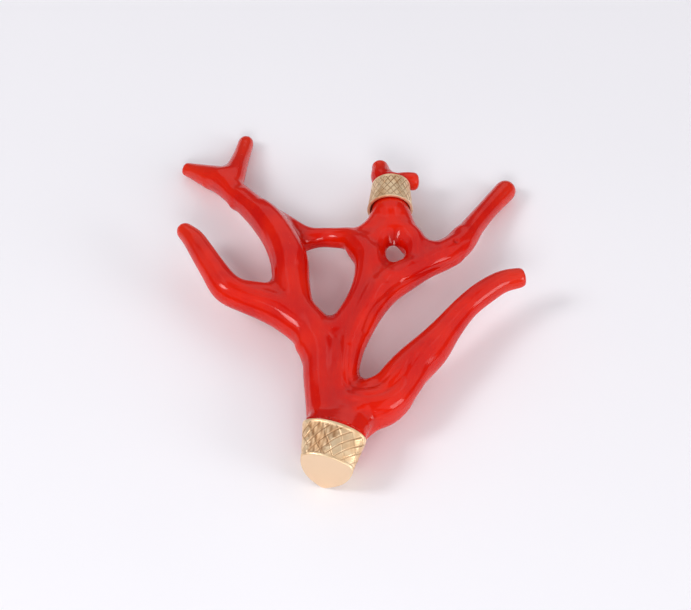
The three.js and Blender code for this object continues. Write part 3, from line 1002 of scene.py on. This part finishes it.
MARKS = (
    Mark("stem valley", (
        (-3.6, -30.6, 10.1), (-3.6, -26.8, 9.2), (-3.5, -23.4, 9.0), (-3.2, -19.2, 9.1),
        (-2.8, -15.2, 9.3), (-2.4, -12.6, 9.6),
    ), 0.1, 1.9, 0.3),
    Mark("opening ring", (
        (-9.5, 1.2, 10.7), (-9.4, -2.0, 10.6), (-9.2, -5.1, 10.4), (-8.2, -8.8, 10.2),
        (-6.5, -11.5, 10.2), (-4.0, -12.5, 9.8), (-1.7, -11.4, 9.8), (-0.2, -9.0, 10.0),
        (1.3, -5.6, 10.4), (2.4, -1.3, 10.2), (2.5, 2.3, 10.2), (1.7, 5.3, 9.8),
    ), 0.1, 1, 0.15),
    Mark("ripple outer", (
        (-2.0, -14.2, 9.5), (-1.8, -16.7, 9.4), (-1.7, -19.9, 9.1), (-1.2, -22.5, 8.7),
        (-0.0, -24.5, 8.8), (1.9, -25.8, 9.4), (4.6, -25.4, 9.4), (6.9, -23.7, 9.4),
        (8.7, -21.1, 9.8), (9.7, -18.1, 10.1),
    ), 0.13, 0.35, 0.1),
    Mark("ripple inner", (
        (-0.5, -15.4, 9.6), (-0.7, -17.9, 9.3), (-0.7, -20.2, 8.9), (-0.2, -22.2, 8.3),
        (1.0, -23.8, 8.6), (2.9, -23.8, 9.0), (5.4, -22.4, 9.3), (7.6, -20.1, 9.9),
    ), 0.12, 0.3, 0.1),
    Mark("right crease", (
        (2.0, -12.0, 9.4), (3.2, -8.7, 9.9), (5.0, -5.7, 9.9), (7.6, -2.6, 9.5),
        (10.7, 0.1, 8.8), (14.1, 3.0, 7.8), (17.6, 5.5, 6.4),
    ), 0.16, 0.45, 0.25),
    Mark("hole ring", (
        (4.3, 6.4, 9.6), (4.2, 4.3, 10.0), (4.7, 2.7, 9.8), (5.7, 0.6, 10.4),
        (7.3, -0.2, 10.5), (9.0, 1.0, 10.2), (10.0, 3.0, 9.9),
    ), -0.12, 0.45, 0),
    Mark("hole valley", (
        (3.3, 8.3, 9.5), (2.9, 5.5, 10.1), (3.2, 2.7, 10.2), (3.9, 0.3, 10.2),
        (5.7, -1.9, 10.7), (7.9, -1.3, 10.0),
    ), 0.12, 0.7, 0.12),
    Mark("left flank crest", (
        (-15.2, 17.8, 8.6), (-14.3, 16.4, 9.2), (-12.8, 13.6, 9.9), (-11.4, 10.8, 10.3),
        (-10.0, 7.8, 10.6), (-8.7, 5.1, 10.3),
    ), -0.18, 0.85, 0),
    Mark("pit", (
        (17.8, 8.7, 8.3),
    ), 0.3, 0.4, 1),
    Mark("lower right line", (
        (8.6, -22.0, 9.6), (9.7, -20.1, 9.8), (10.9, -17.9, 10.0), (14.0, -13.2, 10.1),
        (16.7, -9.1, 9.9), (19.5, -5.8, 10.0),
    ), 0.07, 0.3, 0),
    Mark("fork hollow", (
        (-20.0, 22.9, 7.1),
    ), 0.25, 1.3, 0.2),
    Mark("elbow", (
        (17.6, 5.6, 5.9), (18.5, 6.7, 5.0), (19.5, 7.8, 6.4), (20.4, 9.8, 6.8),
    ), -0.12, 0.6, 0),
    Mark("arm swell left", (
        (1.0, -28.0, 8.9), (1.9, -27.7, 9.0),
    ), -0.3, 0.8, 0),
    Mark("left limb line", (
        (-19.3, 17.8, 7.1), (-17.2, 13.5, 7.8),
    ), 0.03, 0.5, 0.15),
    Mark("left limb second line", (
        (-19.7, 19.8, 7.4), (-17.2, 15.0, 8.6), (-15.0, 10.2, 9.4), (-13.6, 5.5, 9.6),
        (-12.9, 0.9, 9.7), (-12.5, -3.6, 9.9),
    ), 0.04, 0.35, 0.15),
    Mark("opening outer line", (
        (3.7, 2.3, 10.2), (3.4, -3.3, 10.8), (1.8, -7.0, 10.5), (0.3, -10.0, 10.1),
        (-0.7, -13.4, 9.8),
    ), 0.05, 0.35, 0.18),
    Mark("stem left line", (
        (-7.3, -28.2, 7.1), (-7.3, -23.4, 7.6), (-7.5, -18.5, 8.2), (-8.7, -14.2, 8.2),
        (-10.7, -10.8, 8.0),
    ), 0.04, 0.35, 0.15),
    Mark("lower left line", (
        (-26.8, 8.8, 9.7), (-24.9, 2.6, 9.9), (-21.9, -1.8, 10.3), (-18.0, -3.9, 10.2),
        (-14.1, -5.3, 10.3),
    ), 0.05, 0.4, 0.15),
    Mark("right limb line", (
        (4.0, -6.2, 10.3), (7.8, -2.7, 9.3), (11.5, 0.6, 8.1), (15.9, 4.1, 7.0),
    ), -0.08, 0.4, 0),
)


def peg(start: float, end: float, swell: float) -> bmesh.types.BMesh:
    """The coral inside the collar.

    Args:
        start: Where it starts, as a share of the collar's length.
        end: Where it ends.
        swell: How much bigger it is made all round.

    Returns:
        The closed solid.
    """
    inset = COLLAR_WALL + FIT_GAP
    stations = [(COLLAR_LOW.toward(COLLAR_TOP, share), inset) for share in (start, end)]
    return filled(stations, swell)


@dataclass
class CoralSkin(Piece):
    """The coral from the cap to the collar and the free tips: one natural branch.

    It is melted from swollen branches and drawn in again, which rounds its crotches.
    """

    name: str = "coral_branch"
    slot: Slot = Slot.CORAL
    stands_for: tuple[str, ...] = (
        "stem",
        "left_limb",
        "lower_left_branch",
        "upper_left_branch",
        "bridge",
        "right_limb",
        "upper_right_branch",
        "collar_branch",
        "lower_right_branch",
    )
    voxel: float = 0.29
    rounds: int = 22
    swell: float = 0.85
    given_back: float = 0.03  # about what the smoothing takes off
    free: tuple[Route, ...] = (
        UP_TIP,
        LOWER_LEFT,
        RIGHT_LIMB_TO_TIP,
        LARGE_OPENING_RIM,
        BRIDGE_WEB,
        LEFT_CROTCH,
        LOWER_CROTCH,
        MIDDLE_PLATE,
        LOWER_RIGHT_KNEE,
        ARM_CREST,
        ARM_UNDERSIDE,
        LEFT_TIP_CROTCH,
    )
    from_cap: tuple[Route, ...] = (STEM_TO_LEFT_TIP, LOWER_RIGHT)
    to_collar: tuple[Route, ...] = (MIDDLE_BRANCH, BRIDGE_CROTCH, RIGHT_CROTCH)
    hole: RoundHole = RoundHole()
    peg_start: float = -0.15  # shares of the collar's length
    tips: tuple[Point3, ...] = (
        (-29.6, 32.4, 1.0),
        (-18.6, 38.9, 1.4),
        (-29.3, 12.8, 7.2),
        (27.8, 27.2, 1.6),
        (29.9, 0.9, 8.3),
    )
    tip_reach: float = 14.0
    marks: tuple[Mark, ...] = MARKS
    clouds: tuple[float, float] = (6.0, 3.1)  # size and seed
    unevenness: float = 0.045
    even_until: float = -32.0  # places along Y, at the cap's rim
    uneven_from: float = -30.5
    crease_rounds: int = 12
    crease_start: float = 0.02  # the depth from which a crease is painted with shade, a deeper red
    crease_span: float = 0.3  # how much deeper it is where the painted shade is reddest

    def plug(self) -> bmesh.types.BMesh:
        """The stem's end inside the cap, with the shoulder above it.

        Returns:
            The closed solid.
        """
        gap = CAP_WALL + FIT_GAP
        out = 1 + FIT_GAP / CAP_LENGTH
        stations = [
            (CAP_END.toward(CAP_RIM, gap / CAP_LENGTH), gap),
            (CAP_END.toward(CAP_RIM, out), gap),
            (CAP_END.toward(CAP_RIM, out + SHOULDER_STEP / CAP_LENGTH), SHOULDER_INSET),
            (SHOULDER, 0.0),
        ]
        return filled(stations, self.swell)

    def parts(self) -> list[bmesh.types.BMesh]:
        """The branches, the cap's plug and the collar's peg.

        Returns:
            The closed skins.
        """
        swell = self.swell
        grown = [tube(route, swell) for route in (*self.free, self.hole.half(0), self.hole.half(1))]
        grown += [trimmed(tube(route, swell), CAP_CUT, swell) for route in self.from_cap]
        grown += [trimmed(tube(route, swell), COLLAR_LOW_CUT, swell) for route in self.to_collar]
        return [*grown, self.plug(), peg(self.peg_start, 0.5 - HALF_SAW_CUT, swell)]

    def build(self, finish: CoralFinish) -> bpy.types.Object:
        """Grows, melts, sculpts and dresses the coral.

        Args:
            finish: Its finish.

        Returns:
            The piece's object.
        """
        mesh = fused(self.parts(), self.voxel, self.rounds)
        sculptor = Sculptor(mesh)
        along = sculptor.spots[:, 1] - self.even_until
        loose = np.clip(along / (self.uneven_from - self.even_until), 0, 1)
        sculptor.push(self.given_back - self.swell)
        sculptor.push(sculptor.clouds(*self.clouds) * self.unevenness * loose)
        # Painted shade: deeper red in the marks' dents and in the creases, by how far each point lies below
        # its neighbours.
        shaded_hollow = np.zeros(len(sculptor.spots))
        for mark in self.marks:
            near = mark.nearness(sculptor.spots)
            sculptor.push(-mark.depth * near)
            shaded_hollow = np.maximum(shaded_hollow, near * mark.shade)
        creases = sculptor.creases(self.crease_rounds) - self.crease_start
        shaded_hollow = np.maximum(shaded_hollow, np.clip(creases / self.crease_span, 0, 1))
        sculptor.done()
        LOG.info("marks: %s", ", ".join(mark.name for mark in self.marks))
        values = {"tip": sculptor.closeness(self.tips, self.tip_reach), "shaded_hollow": shaded_hollow}
        return self.publish(mesh, finish.material("coral_polished"), values)


@dataclass
class TipFork(Piece):
    """The two short stubs of coral that stand out of the collar."""

    name: str = "coral_tip"
    slot: Slot = Slot.CORAL
    stands_for: tuple[str, ...] = ("tip_fork",)
    voxel: float = 0.16
    rounds: int = 10
    swell: float = 0.5
    gap: float = 0.4
    left: Route = Route(((6.2, 23.5, 6.3, 2.4), (5.3, 25.6, 6.0, 2.0), (4.95, 27.7, 5.9, 1.5)), 0.75)
    right: Route = Route(((7.3, 23.6, 6.1, 2.0), (8.7, 24.8, 5.7, 1.6), (10.7, 25.0, 5.4, 1.6)), 0.6)
    peg_end: float = 1.18  # shares of the collar's length
    clouds: tuple[float, float] = (2.0, 5.2)  # size and seed
    unevenness: float = 0.06
    tips: tuple[Point3, ...] = ((4.8, 29.0, 5.8), (11.8, 25.4, 5.2))
    tip_reach: float = 6.0

    def build(self, finish: CoralFinish) -> bpy.types.Object:
        """Builds and dresses the stubs.

        Args:
            finish: Their finish.

        Returns:
            The piece's object.
        """
        swell = self.swell
        stubs = [
            trimmed(tube(route, swell, gap=self.gap), COLLAR_TOP_CUT, swell)
            for route in (self.left, self.right)
        ]
        inside = peg(0.5 + HALF_SAW_CUT, self.peg_end, swell)
        mesh = fused([*stubs, inside], self.voxel, self.rounds)
        sculptor = Sculptor(mesh)
        sculptor.push(-swell)
        sculptor.push(sculptor.clouds(*self.clouds) * self.unevenness)
        sculptor.done()
        values = {
            "tip": sculptor.closeness(self.tips, self.tip_reach),
            "shaded_hollow": np.zeros(len(sculptor.spots)),
        }
        return self.publish(mesh, finish.material("coral_tip_polished"), values)


@dataclass(frozen=True)
class Cuts:
    """One family of engraved lines that wind round a fitting side by side."""

    lines: int  # round the fitting
    lean: float  # lines passed from one end to the other
    depth: float
    width: float
    wobble: float
    seed: float
    burr: float = 0.02

    WAVES = ((3, 0.8, 1.0, 1.0), (7, -1.1, 0.6, 2.3))  # turns round and along, height, seed factor
    MEAN_STRENGTH = 0.75
    STRENGTH_SPREAD = 0.35
    SCATTER = (12.9898, 4.1)  # makes each line's strength its own, from its number and the seed
    BURR_PLACE = 1.2  # widths from the line
    BURR_WIDTH = 0.5

    def phase(self, around: np.ndarray, along: np.ndarray) -> np.ndarray:
        """The number of lines passed.

        Args:
            around: Shares of the way round.
            along: Shares of the way along.

        Returns:
            The number at each place, whole on a line.
        """
        wave = sum(
            height * np.sin(TURN * (around * turns + along * rise) + self.seed * shift)
            for turns, rise, height, shift in self.WAVES
        )
        return self.lines * around + self.lean * along + self.wobble * wave

    def relief(
        self, around: np.ndarray, along: np.ndarray, girth: float, length: float
    ) -> tuple[np.ndarray, np.ndarray]:
        """How deep the lines are cut at each place.

        Args:
            around: Shares of the way round.
            along: Shares of the way along.
            girth: The way round, in millimetres.
            length: The way along, in millimetres.

        Returns:
            The depths, and how dark the cut is painted from 0 to 1, as painted shade.
        """
        pitch = 1 / math.hypot(self.lines / girth, self.lean / length)
        phase = self.phase(around, along)
        line = np.round(phase)
        gap = np.abs(phase - line) * pitch
        scatter = (line % self.lines) * self.SCATTER[0] + self.seed * self.SCATTER[1]
        strength = self.MEAN_STRENGTH + self.STRENGTH_SPREAD * np.sin(scatter)
        # Painted shade: the cut is darker where it is deepest.
        cut = np.clip(1 - gap / self.width, 0, 1) * strength
        off_burr = (gap - self.width * self.BURR_PLACE) / (self.width * self.BURR_WIDTH)
        return self.depth * cut - self.burr * np.exp(-(off_burr**2)), cut


class Ring(NamedTuple):
    """One ring of a fitting's skin."""

    section: Section
    inset: float
    along: float  # its share of the engraved wall, or PLAIN or PLATE
    shrink: float = 1.0


PLAIN = -1.0  # a ring with no engraving
PLATE = -2.0  # a ring of the smooth end plate


@dataclass
class Fitting(Piece):
    """A gold fitting: a wall round the coral, engraved between two plain edges."""

    slot: Slot = Slot.GOLD
    low: Section = CAP_END
    high: Section = CAP_RIM
    wall: float = CAP_WALL
    sides: int = 420
    rows: int = 76
    edge_low: float = 0.3
    edge_high: float = 0.4
    edge_step: float = 0.1  # from the engraving to the first plain ring above it
    lip: float = 0.12
    cuts: tuple[Cuts, ...] = ()
    facet_tilt: float = 0.05
    fade: float = 0.05  # share of the wall over which the engraving starts and ends
    deepest: float = 0.7  # share of the wall's thickness that a cut may take

    ARC_STEPS = 720
    EDGE_RING = 0.9  # share of the low edge at which it has a ring
    SCATTERS = ((7.13, 3.71, 0.0), (2.39, -5.27, 1.3))  # turn each diamond its own way

    def length(self) -> float:
        """The fitting's length."""
        return (self.high.middle() - self.low.middle()).length

    def arc(self) -> tuple[np.ndarray, float]:
        """Measures the way round the middle section.

        Returns:
            The share of the way at every side, and the whole way.
        """
        middle = self.low.toward(self.high, 0.5)
        steps = self.ARC_STEPS
        spots = [middle.point(TURN * i / steps) for i in range(steps + 1)]
        run = np.cumsum([0.0] + [(one - two).length for one, two in zip(spots, spots[1:])])
        places = np.arange(self.sides) / self.sides * steps
        return np.interp(places, np.arange(steps + 1), run / run[-1]), float(run[-1])

    def facets(self, around: np.ndarray, along: np.ndarray) -> np.ndarray:
        """A small sinking of each diamond, tilted its own way.

        Args:
            around: Shares of the way round.
            along: Shares of the way along.

        Returns:
            The depths.
        """
        phases = [cuts.phase(around, along) for cuts in self.cuts]
        keys = [np.round(phase - 0.5) % cuts.lines for phase, cuts in zip(phases, self.cuts)]
        tilted = np.zeros_like(around)
        for phase, (first, second, shift) in zip(phases, self.SCATTERS):
            away = phase - np.floor(phase) - 0.5
            tilted += away * np.sin(keys[0] * first + keys[1] * second + shift)
        return self.facet_tilt * (1 + tilted)

    def tarnish_and_painted_reflection(self, around: np.ndarray, along: np.ndarray) -> np.ndarray:
        """How much painted reflection, in brown, the wall has at each place, from 0 to 1."""
        return np.zeros_like(around * along)

    def engraved(self, rings: Sequence[Ring]) -> tuple[np.ndarray, np.ndarray]:
        """Engraves the wall.

        Args:
            rings: The skin's rings.

        Returns:
            The depth at every ring and side, and how dark it is there.
        """
        shares, girth = self.arc()
        wall = np.array([ring.along for ring in rings])
        around, along = np.meshgrid(shares, np.clip(wall, 0, 1))
        reliefs = [cuts.relief(around, along, girth, self.length()) for cuts in self.cuts]
        depth = self.facets(around, along)
        # Painted darkening: painted reflection in the brown patch, then painted shade in the cuts.
        dark = self.tarnish_and_painted_reflection(around, along)
        for cut, shade in reliefs:
            depth = depth + cut
            dark = np.maximum(dark, shade)
        fade = np.clip(np.minimum(wall, 1 - wall) / self.fade, 0, 1)[:, None]
        return np.clip(depth * fade, 0, self.wall * self.deepest), dark * fade

    def wall_rings(self) -> list[Ring]:
        """The rings of the engraved wall and of the plain edges beside it.

        Returns:
            The rings, from the low end up.
        """
        low, high, length = self.low, self.high, self.length()
        first, last = self.edge_low / length, 1 - self.edge_high / length
        rings = [Ring(low.toward(high, first * self.EDGE_RING), 0.0, PLAIN)]
        for row in range(self.rows + 1):
            share = first + (last - first) * row / self.rows
            rings.append(Ring(low.toward(high, share), 0.0, row / self.rows))
        return [*rings, Ring(low.toward(high, last + self.edge_step / length), 0.0, PLAIN)]

    def rim(self, middle: float, reach: float, outer: Sequence[int], inner: Sequence[int]) -> list[Ring]:
        """A rounded rim: a quarter at the wall's outer face and a quarter at its inner face.

        Args:
            middle: The share of the fitting's length where the quarters start.
            reach: How far they stand beyond it, in shares.
            outer: Angles of the outer quarter, 0 to 90.
            inner: Angles of the inner quarter, 90 to 180.

        Returns:
            The rings, the outer ones first.
        """
        rings = []
        for angle in (*outer, *inner):
            turn = math.radians(angle)
            inset = self.lip * (1 - math.cos(turn))
            if len(rings) >= len(outer):
                inset = self.wall - self.lip * (1 + math.cos(turn))
            section = self.low.toward(self.high, middle + reach * math.sin(turn))
            rings.append(Ring(section, inset, PLAIN))
        return rings

    def rings(self) -> list[Ring]:
        """The rings of the whole skin."""
        raise NotImplementedError

    def build(self, finish: GoldFinish) -> bpy.types.Object:
        """Raises, engraves and dresses the fitting.

        Args:
            finish: Its finish.

        Returns:
            The piece's object.
        """
        rings = self.rings()
        depth, dark = self.engraved(rings)

        def place(number: int, side: int) -> Vector:
            """The point of a ring at a side."""
            section, inset, _, shrink = rings[number]
            return section.point(TURN * side / self.sides, inset + depth[number, side], shrink)

        skin = wrapped_grid(len(rings), self.sides, place)
        mesh = bpy.data.meshes.new(self.name)
        skin.to_mesh(mesh)
        skin.free()
        values = self.values(mesh, rings, dark, place)
        return self.publish(mesh, finish.material(f"gold_{self.name}"), values)

    def values(
        self,
        mesh: bpy.types.Mesh,
        rings: Sequence[Ring],
        dark: np.ndarray,
        place: Callable[[int, int], Vector],
    ) -> dict[str, np.ndarray]:
        """What the material reads at every point: how dark it is painted, as painted shade in the cuts and
        painted reflection in the brown patch, and whether it is the plate.

        Args:
            mesh: The finished mesh.
            rings: The skin's rings.
            dark: How dark it is painted at every ring and side.
            place: Gives the position of a ring's side.

        Returns:
            The two values, by name.
        """

        def key(spot: Vector) -> tuple[float, ...]:
            """A point's place, rounded so that it can be looked up."""
            return tuple(round(part, 3) for part in spot)

        known = {}
        for number, ring in enumerate(rings):
            for side in range(self.sides):
                known[key(place(number, side))] = (dark[number, side], float(ring.along == PLATE))
        found = np.array([known.get(key(vert.co), (0.0, 0.0)) for vert in mesh.vertices])
        return {"painted_darkening": found[:, 0], "plate": found[:, 1]}


@dataclass
class BaseCap(Fitting):
    """The cup on the cut stem, with a smooth flat end plate."""

    name: str = "gold_base_cap"
    stands_for: tuple[str, ...] = ("base_cap",)
    cuts: tuple[Cuts, ...] = (
        Cuts(lines=18, lean=-3.3, depth=0.1, width=0.16, wobble=0.03, seed=0.4),
        Cuts(lines=13, lean=1.3, depth=0.1, width=0.17, wobble=0.07, seed=2.2),
    )
    facet_tilt: float = 0.09
    plate_shares: tuple[float, ...] = (0.0, 0.25, 0.5, 0.75, 0.92, 1.0)
    # The brown patch is painted reflection: it stands for the dark reflection of the facets on the cap's
    # upper left.
    browned: Point3 = (0.06, 0.17, 0.08)  # from and to, round the cap, and how much wider above
    brown_edge: float = 0.012
    brown_streak: float = 0.3

    RAGGED = ((0.008, 19, 1.0), (0.005, 43, 0.0))  # reach, waves and shift of the patch's edge
    STREAKS = ((190, 5), (83, -9))  # waves round and along

    def tarnish_and_painted_reflection(self, around: np.ndarray, along: np.ndarray) -> np.ndarray:
        """The brown patch of painted reflection on the upper left of the wall, mottled in long streaks.

        Args:
            around: Shares of the way round.
            along: Shares of the way along.

        Returns:
            How brown it is at each place, from 0 to 1.
        """
        low, high, wider = self.browned
        ragged = sum(reach * np.sin(along * waves + shift) for reach, waves, shift in self.RAGGED)
        inside = np.minimum(around - low - ragged, high + wider * along - around + ragged)
        one, two = (np.sin(around * across + along * up) for across, up in self.STREAKS)
        streaks = 1 - self.brown_streak + self.brown_streak * one * two
        return np.clip(inside / self.brown_edge, 0, 1) * streaks

    def rings(self) -> list[Ring]:
        """The plate's middle, its edge, the wall, the rim and the inside.

        Returns:
            The rings, in that order.
        """
        end, rim, lip, length = self.low, self.high, self.lip, self.length()
        rings = [Ring(end, lip, PLATE, shrink) for shrink in self.plate_shares]
        for angle in (22, 45, 68, 90):
            turn = math.radians(angle)
            section = end.toward(rim, lip * (1 - math.cos(turn)) / length)
            rings.append(Ring(section, lip * (1 - math.sin(turn)), PLAIN))
        rings += self.wall_rings()
        rings += self.rim(1 - lip / length, lip / length, (0, 22, 45, 68, 90), (112, 135, 158, 180))
        floor = end.toward(rim, self.wall / length)
        return [*rings, Ring(floor, self.wall, PLAIN), Ring(floor, self.wall, PLAIN, 0.0)]


@dataclass
class Collar(Fitting):
    """The open ring round the upper middle branch."""

    name: str = "gold_collar"
    stands_for: tuple[str, ...] = ("collar",)
    low: Section = COLLAR_LOW
    high: Section = COLLAR_TOP
    wall: float = COLLAR_WALL
    sides: int = 396
    rows: int = 84
    edge_low: float = 0.28
    edge_high: float = 0.25
    edge_step: float = 0.05
    lip: float = 0.1
    cuts: tuple[Cuts, ...] = (
        Cuts(lines=20, lean=3.0, depth=0.1, width=0.15, wobble=0.03, seed=0.9),
        Cuts(lines=20, lean=-3.0, depth=0.1, width=0.15, wobble=0.03, seed=3.3),
    )

    def rings(self) -> list[Ring]:
        """The wall, the upper rim, the bore and the lower rim.

        Returns:
            The rings, in that order, closing on the first.
        """
        reach = self.lip / self.length()
        start = Ring(self.low.toward(self.high, reach), 0.0, PLAIN)
        upper = self.rim(1 - reach, reach, (0, 30, 60, 90), (90, 120, 150, 180))
        lower = self.rim(reach, -reach, (30, 60), (90, 120, 150, 180))
        return [start, *self.wall_rings(), *upper, *reversed(lower), start]


# Studio


@dataclass(frozen=True)
class Lamp:
    """A soft rectangular light aimed at the branch.

    Its bearing is in degrees from the camera's side, towards the right, and its brightness is
    the radiance of its face.
    """

    name: str
    bearing: float
    height: float
    distance: float
    size: tuple[float, float]
    brightness: float
    tint: Point3 = (1.0, 0.99, 1.0)

    def build(self) -> None:
        """Hangs the light."""
        light = bpy.data.lights.new(self.name, "AREA")
        light.shape = "RECTANGLE"
        wide, tall = (side * METRES for side in self.size)
        light.size, light.size_y = wide, tall
        light.energy = self.brightness * math.pi * wide * tall
        light.color = self.tint
        bearing, height = math.radians(self.bearing), math.radians(self.height)
        way = Vector((
            math.sin(bearing) * math.cos(height), -math.cos(bearing) * math.cos(height), math.sin(height)
        ))
        holder = bpy.data.objects.new(self.name, light)
        holder.location = way * self.distance * METRES
        holder.rotation_euler = (-way).to_track_quat("-Z", "Y").to_euler()
        bpy.context.scene.collection.objects.link(holder)


@dataclass(frozen=True)
class Studio:
    """The floor, the lights and the camera."""

    floor_size: float = 4000.0
    floor_cells: int = 4
    sky: Colour = colour(236, 236, 242)
    sky_strength: float = 0.18
    elevation: float = 50.0
    distance: float = 600.0
    target: Point3 = (-1.1, 1.35, 0.0)
    lens: float = 182.3
    sensor: float = 36.0
    clip_metres: tuple[float, float] = (0.01, 20.0)
    lamps: tuple[Lamp, ...] = (
        Lamp("left_box", -80.0, 50.0, 620.0, (900.0, 640.0), 0.42),
        Lamp("left_core", -77.0, 46.0, 600.0, (180.0, 200.0), 8.8),
        Lamp("right_box", 80.0, 48.0, 620.0, (900.0, 600.0), 0.64),
        Lamp("right_core", 64.0, 20.0, 600.0, (260.0, 250.0), 4.6),
        Lamp("back_box", 180.0, 46.0, 620.0, (640.0, 600.0), 0.55),
        Lamp("front_box", 0.0, 20.0, 620.0, (700.0, 240.0), 0.5),
        Lamp("front_strip", -6.0, 36.0, 600.0, (280.0, 150.0), 8.4),
    )

    def build(self) -> None:
        """Lays the floor, lights it and sets the camera."""
        self._lay_floor()
        self._light_sky()
        for lamp in self.lamps:
            lamp.build()
        self._set_camera()

    def _lay_floor(self) -> None:
        """A plain pale floor that isn't part of the object."""
        sheet = bmesh.new()
        cells, half = self.floor_cells, self.floor_size / 2 * METRES
        bmesh.ops.create_grid(sheet, x_segments=cells, y_segments=cells, size=half)
        mesh = bpy.data.meshes.new("floor")
        sheet.to_mesh(mesh)
        sheet.free()
        mesh.materials.append(FloorFinish().material("studio_paper"))
        floor = bpy.data.objects.new("floor", mesh)
        bpy.context.scene.collection.objects.link(floor)

    def _light_sky(self) -> None:
        """An even pale surround."""
        world = bpy.data.worlds.new("surround")
        world.use_nodes = True
        background = world.node_tree.nodes["Background"]
        background.inputs["Color"].default_value = self.sky
        background.inputs["Strength"].default_value = self.sky_strength
        bpy.context.scene.world = world

    def _set_camera(self) -> None:
        """The camera looks down on the branch from its stem's side."""
        lift = math.radians(self.elevation)
        back = Vector((0.0, -math.cos(lift), math.sin(lift))) * self.distance
        camera = bpy.data.cameras.new("camera")
        camera.lens = self.lens
        camera.sensor_width = self.sensor
        camera.clip_start, camera.clip_end = self.clip_metres
        holder = bpy.data.objects.new("camera", camera)
        holder.location = (Vector(self.target) + back) * METRES
        holder.rotation_euler = (math.pi / 2 - lift, 0.0, 0.0)
        bpy.context.scene.collection.objects.link(holder)
        bpy.context.scene.camera = holder
        bpy.context.scene.view_settings.view_transform = "Standard"


def main() -> None:
    """Builds the branch, its fittings and the studio, and notes the sizes."""
    logging.basicConfig(level=logging.INFO, format="%(message)s")
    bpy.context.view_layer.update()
    CoralSkin().build(CoralFinish())
    TipFork().build(CoralFinish())
    BaseCap().build(GoldFinish())
    Collar().build(GoldFinish())
    Studio().build()


if __name__ == "__main__":
    main()
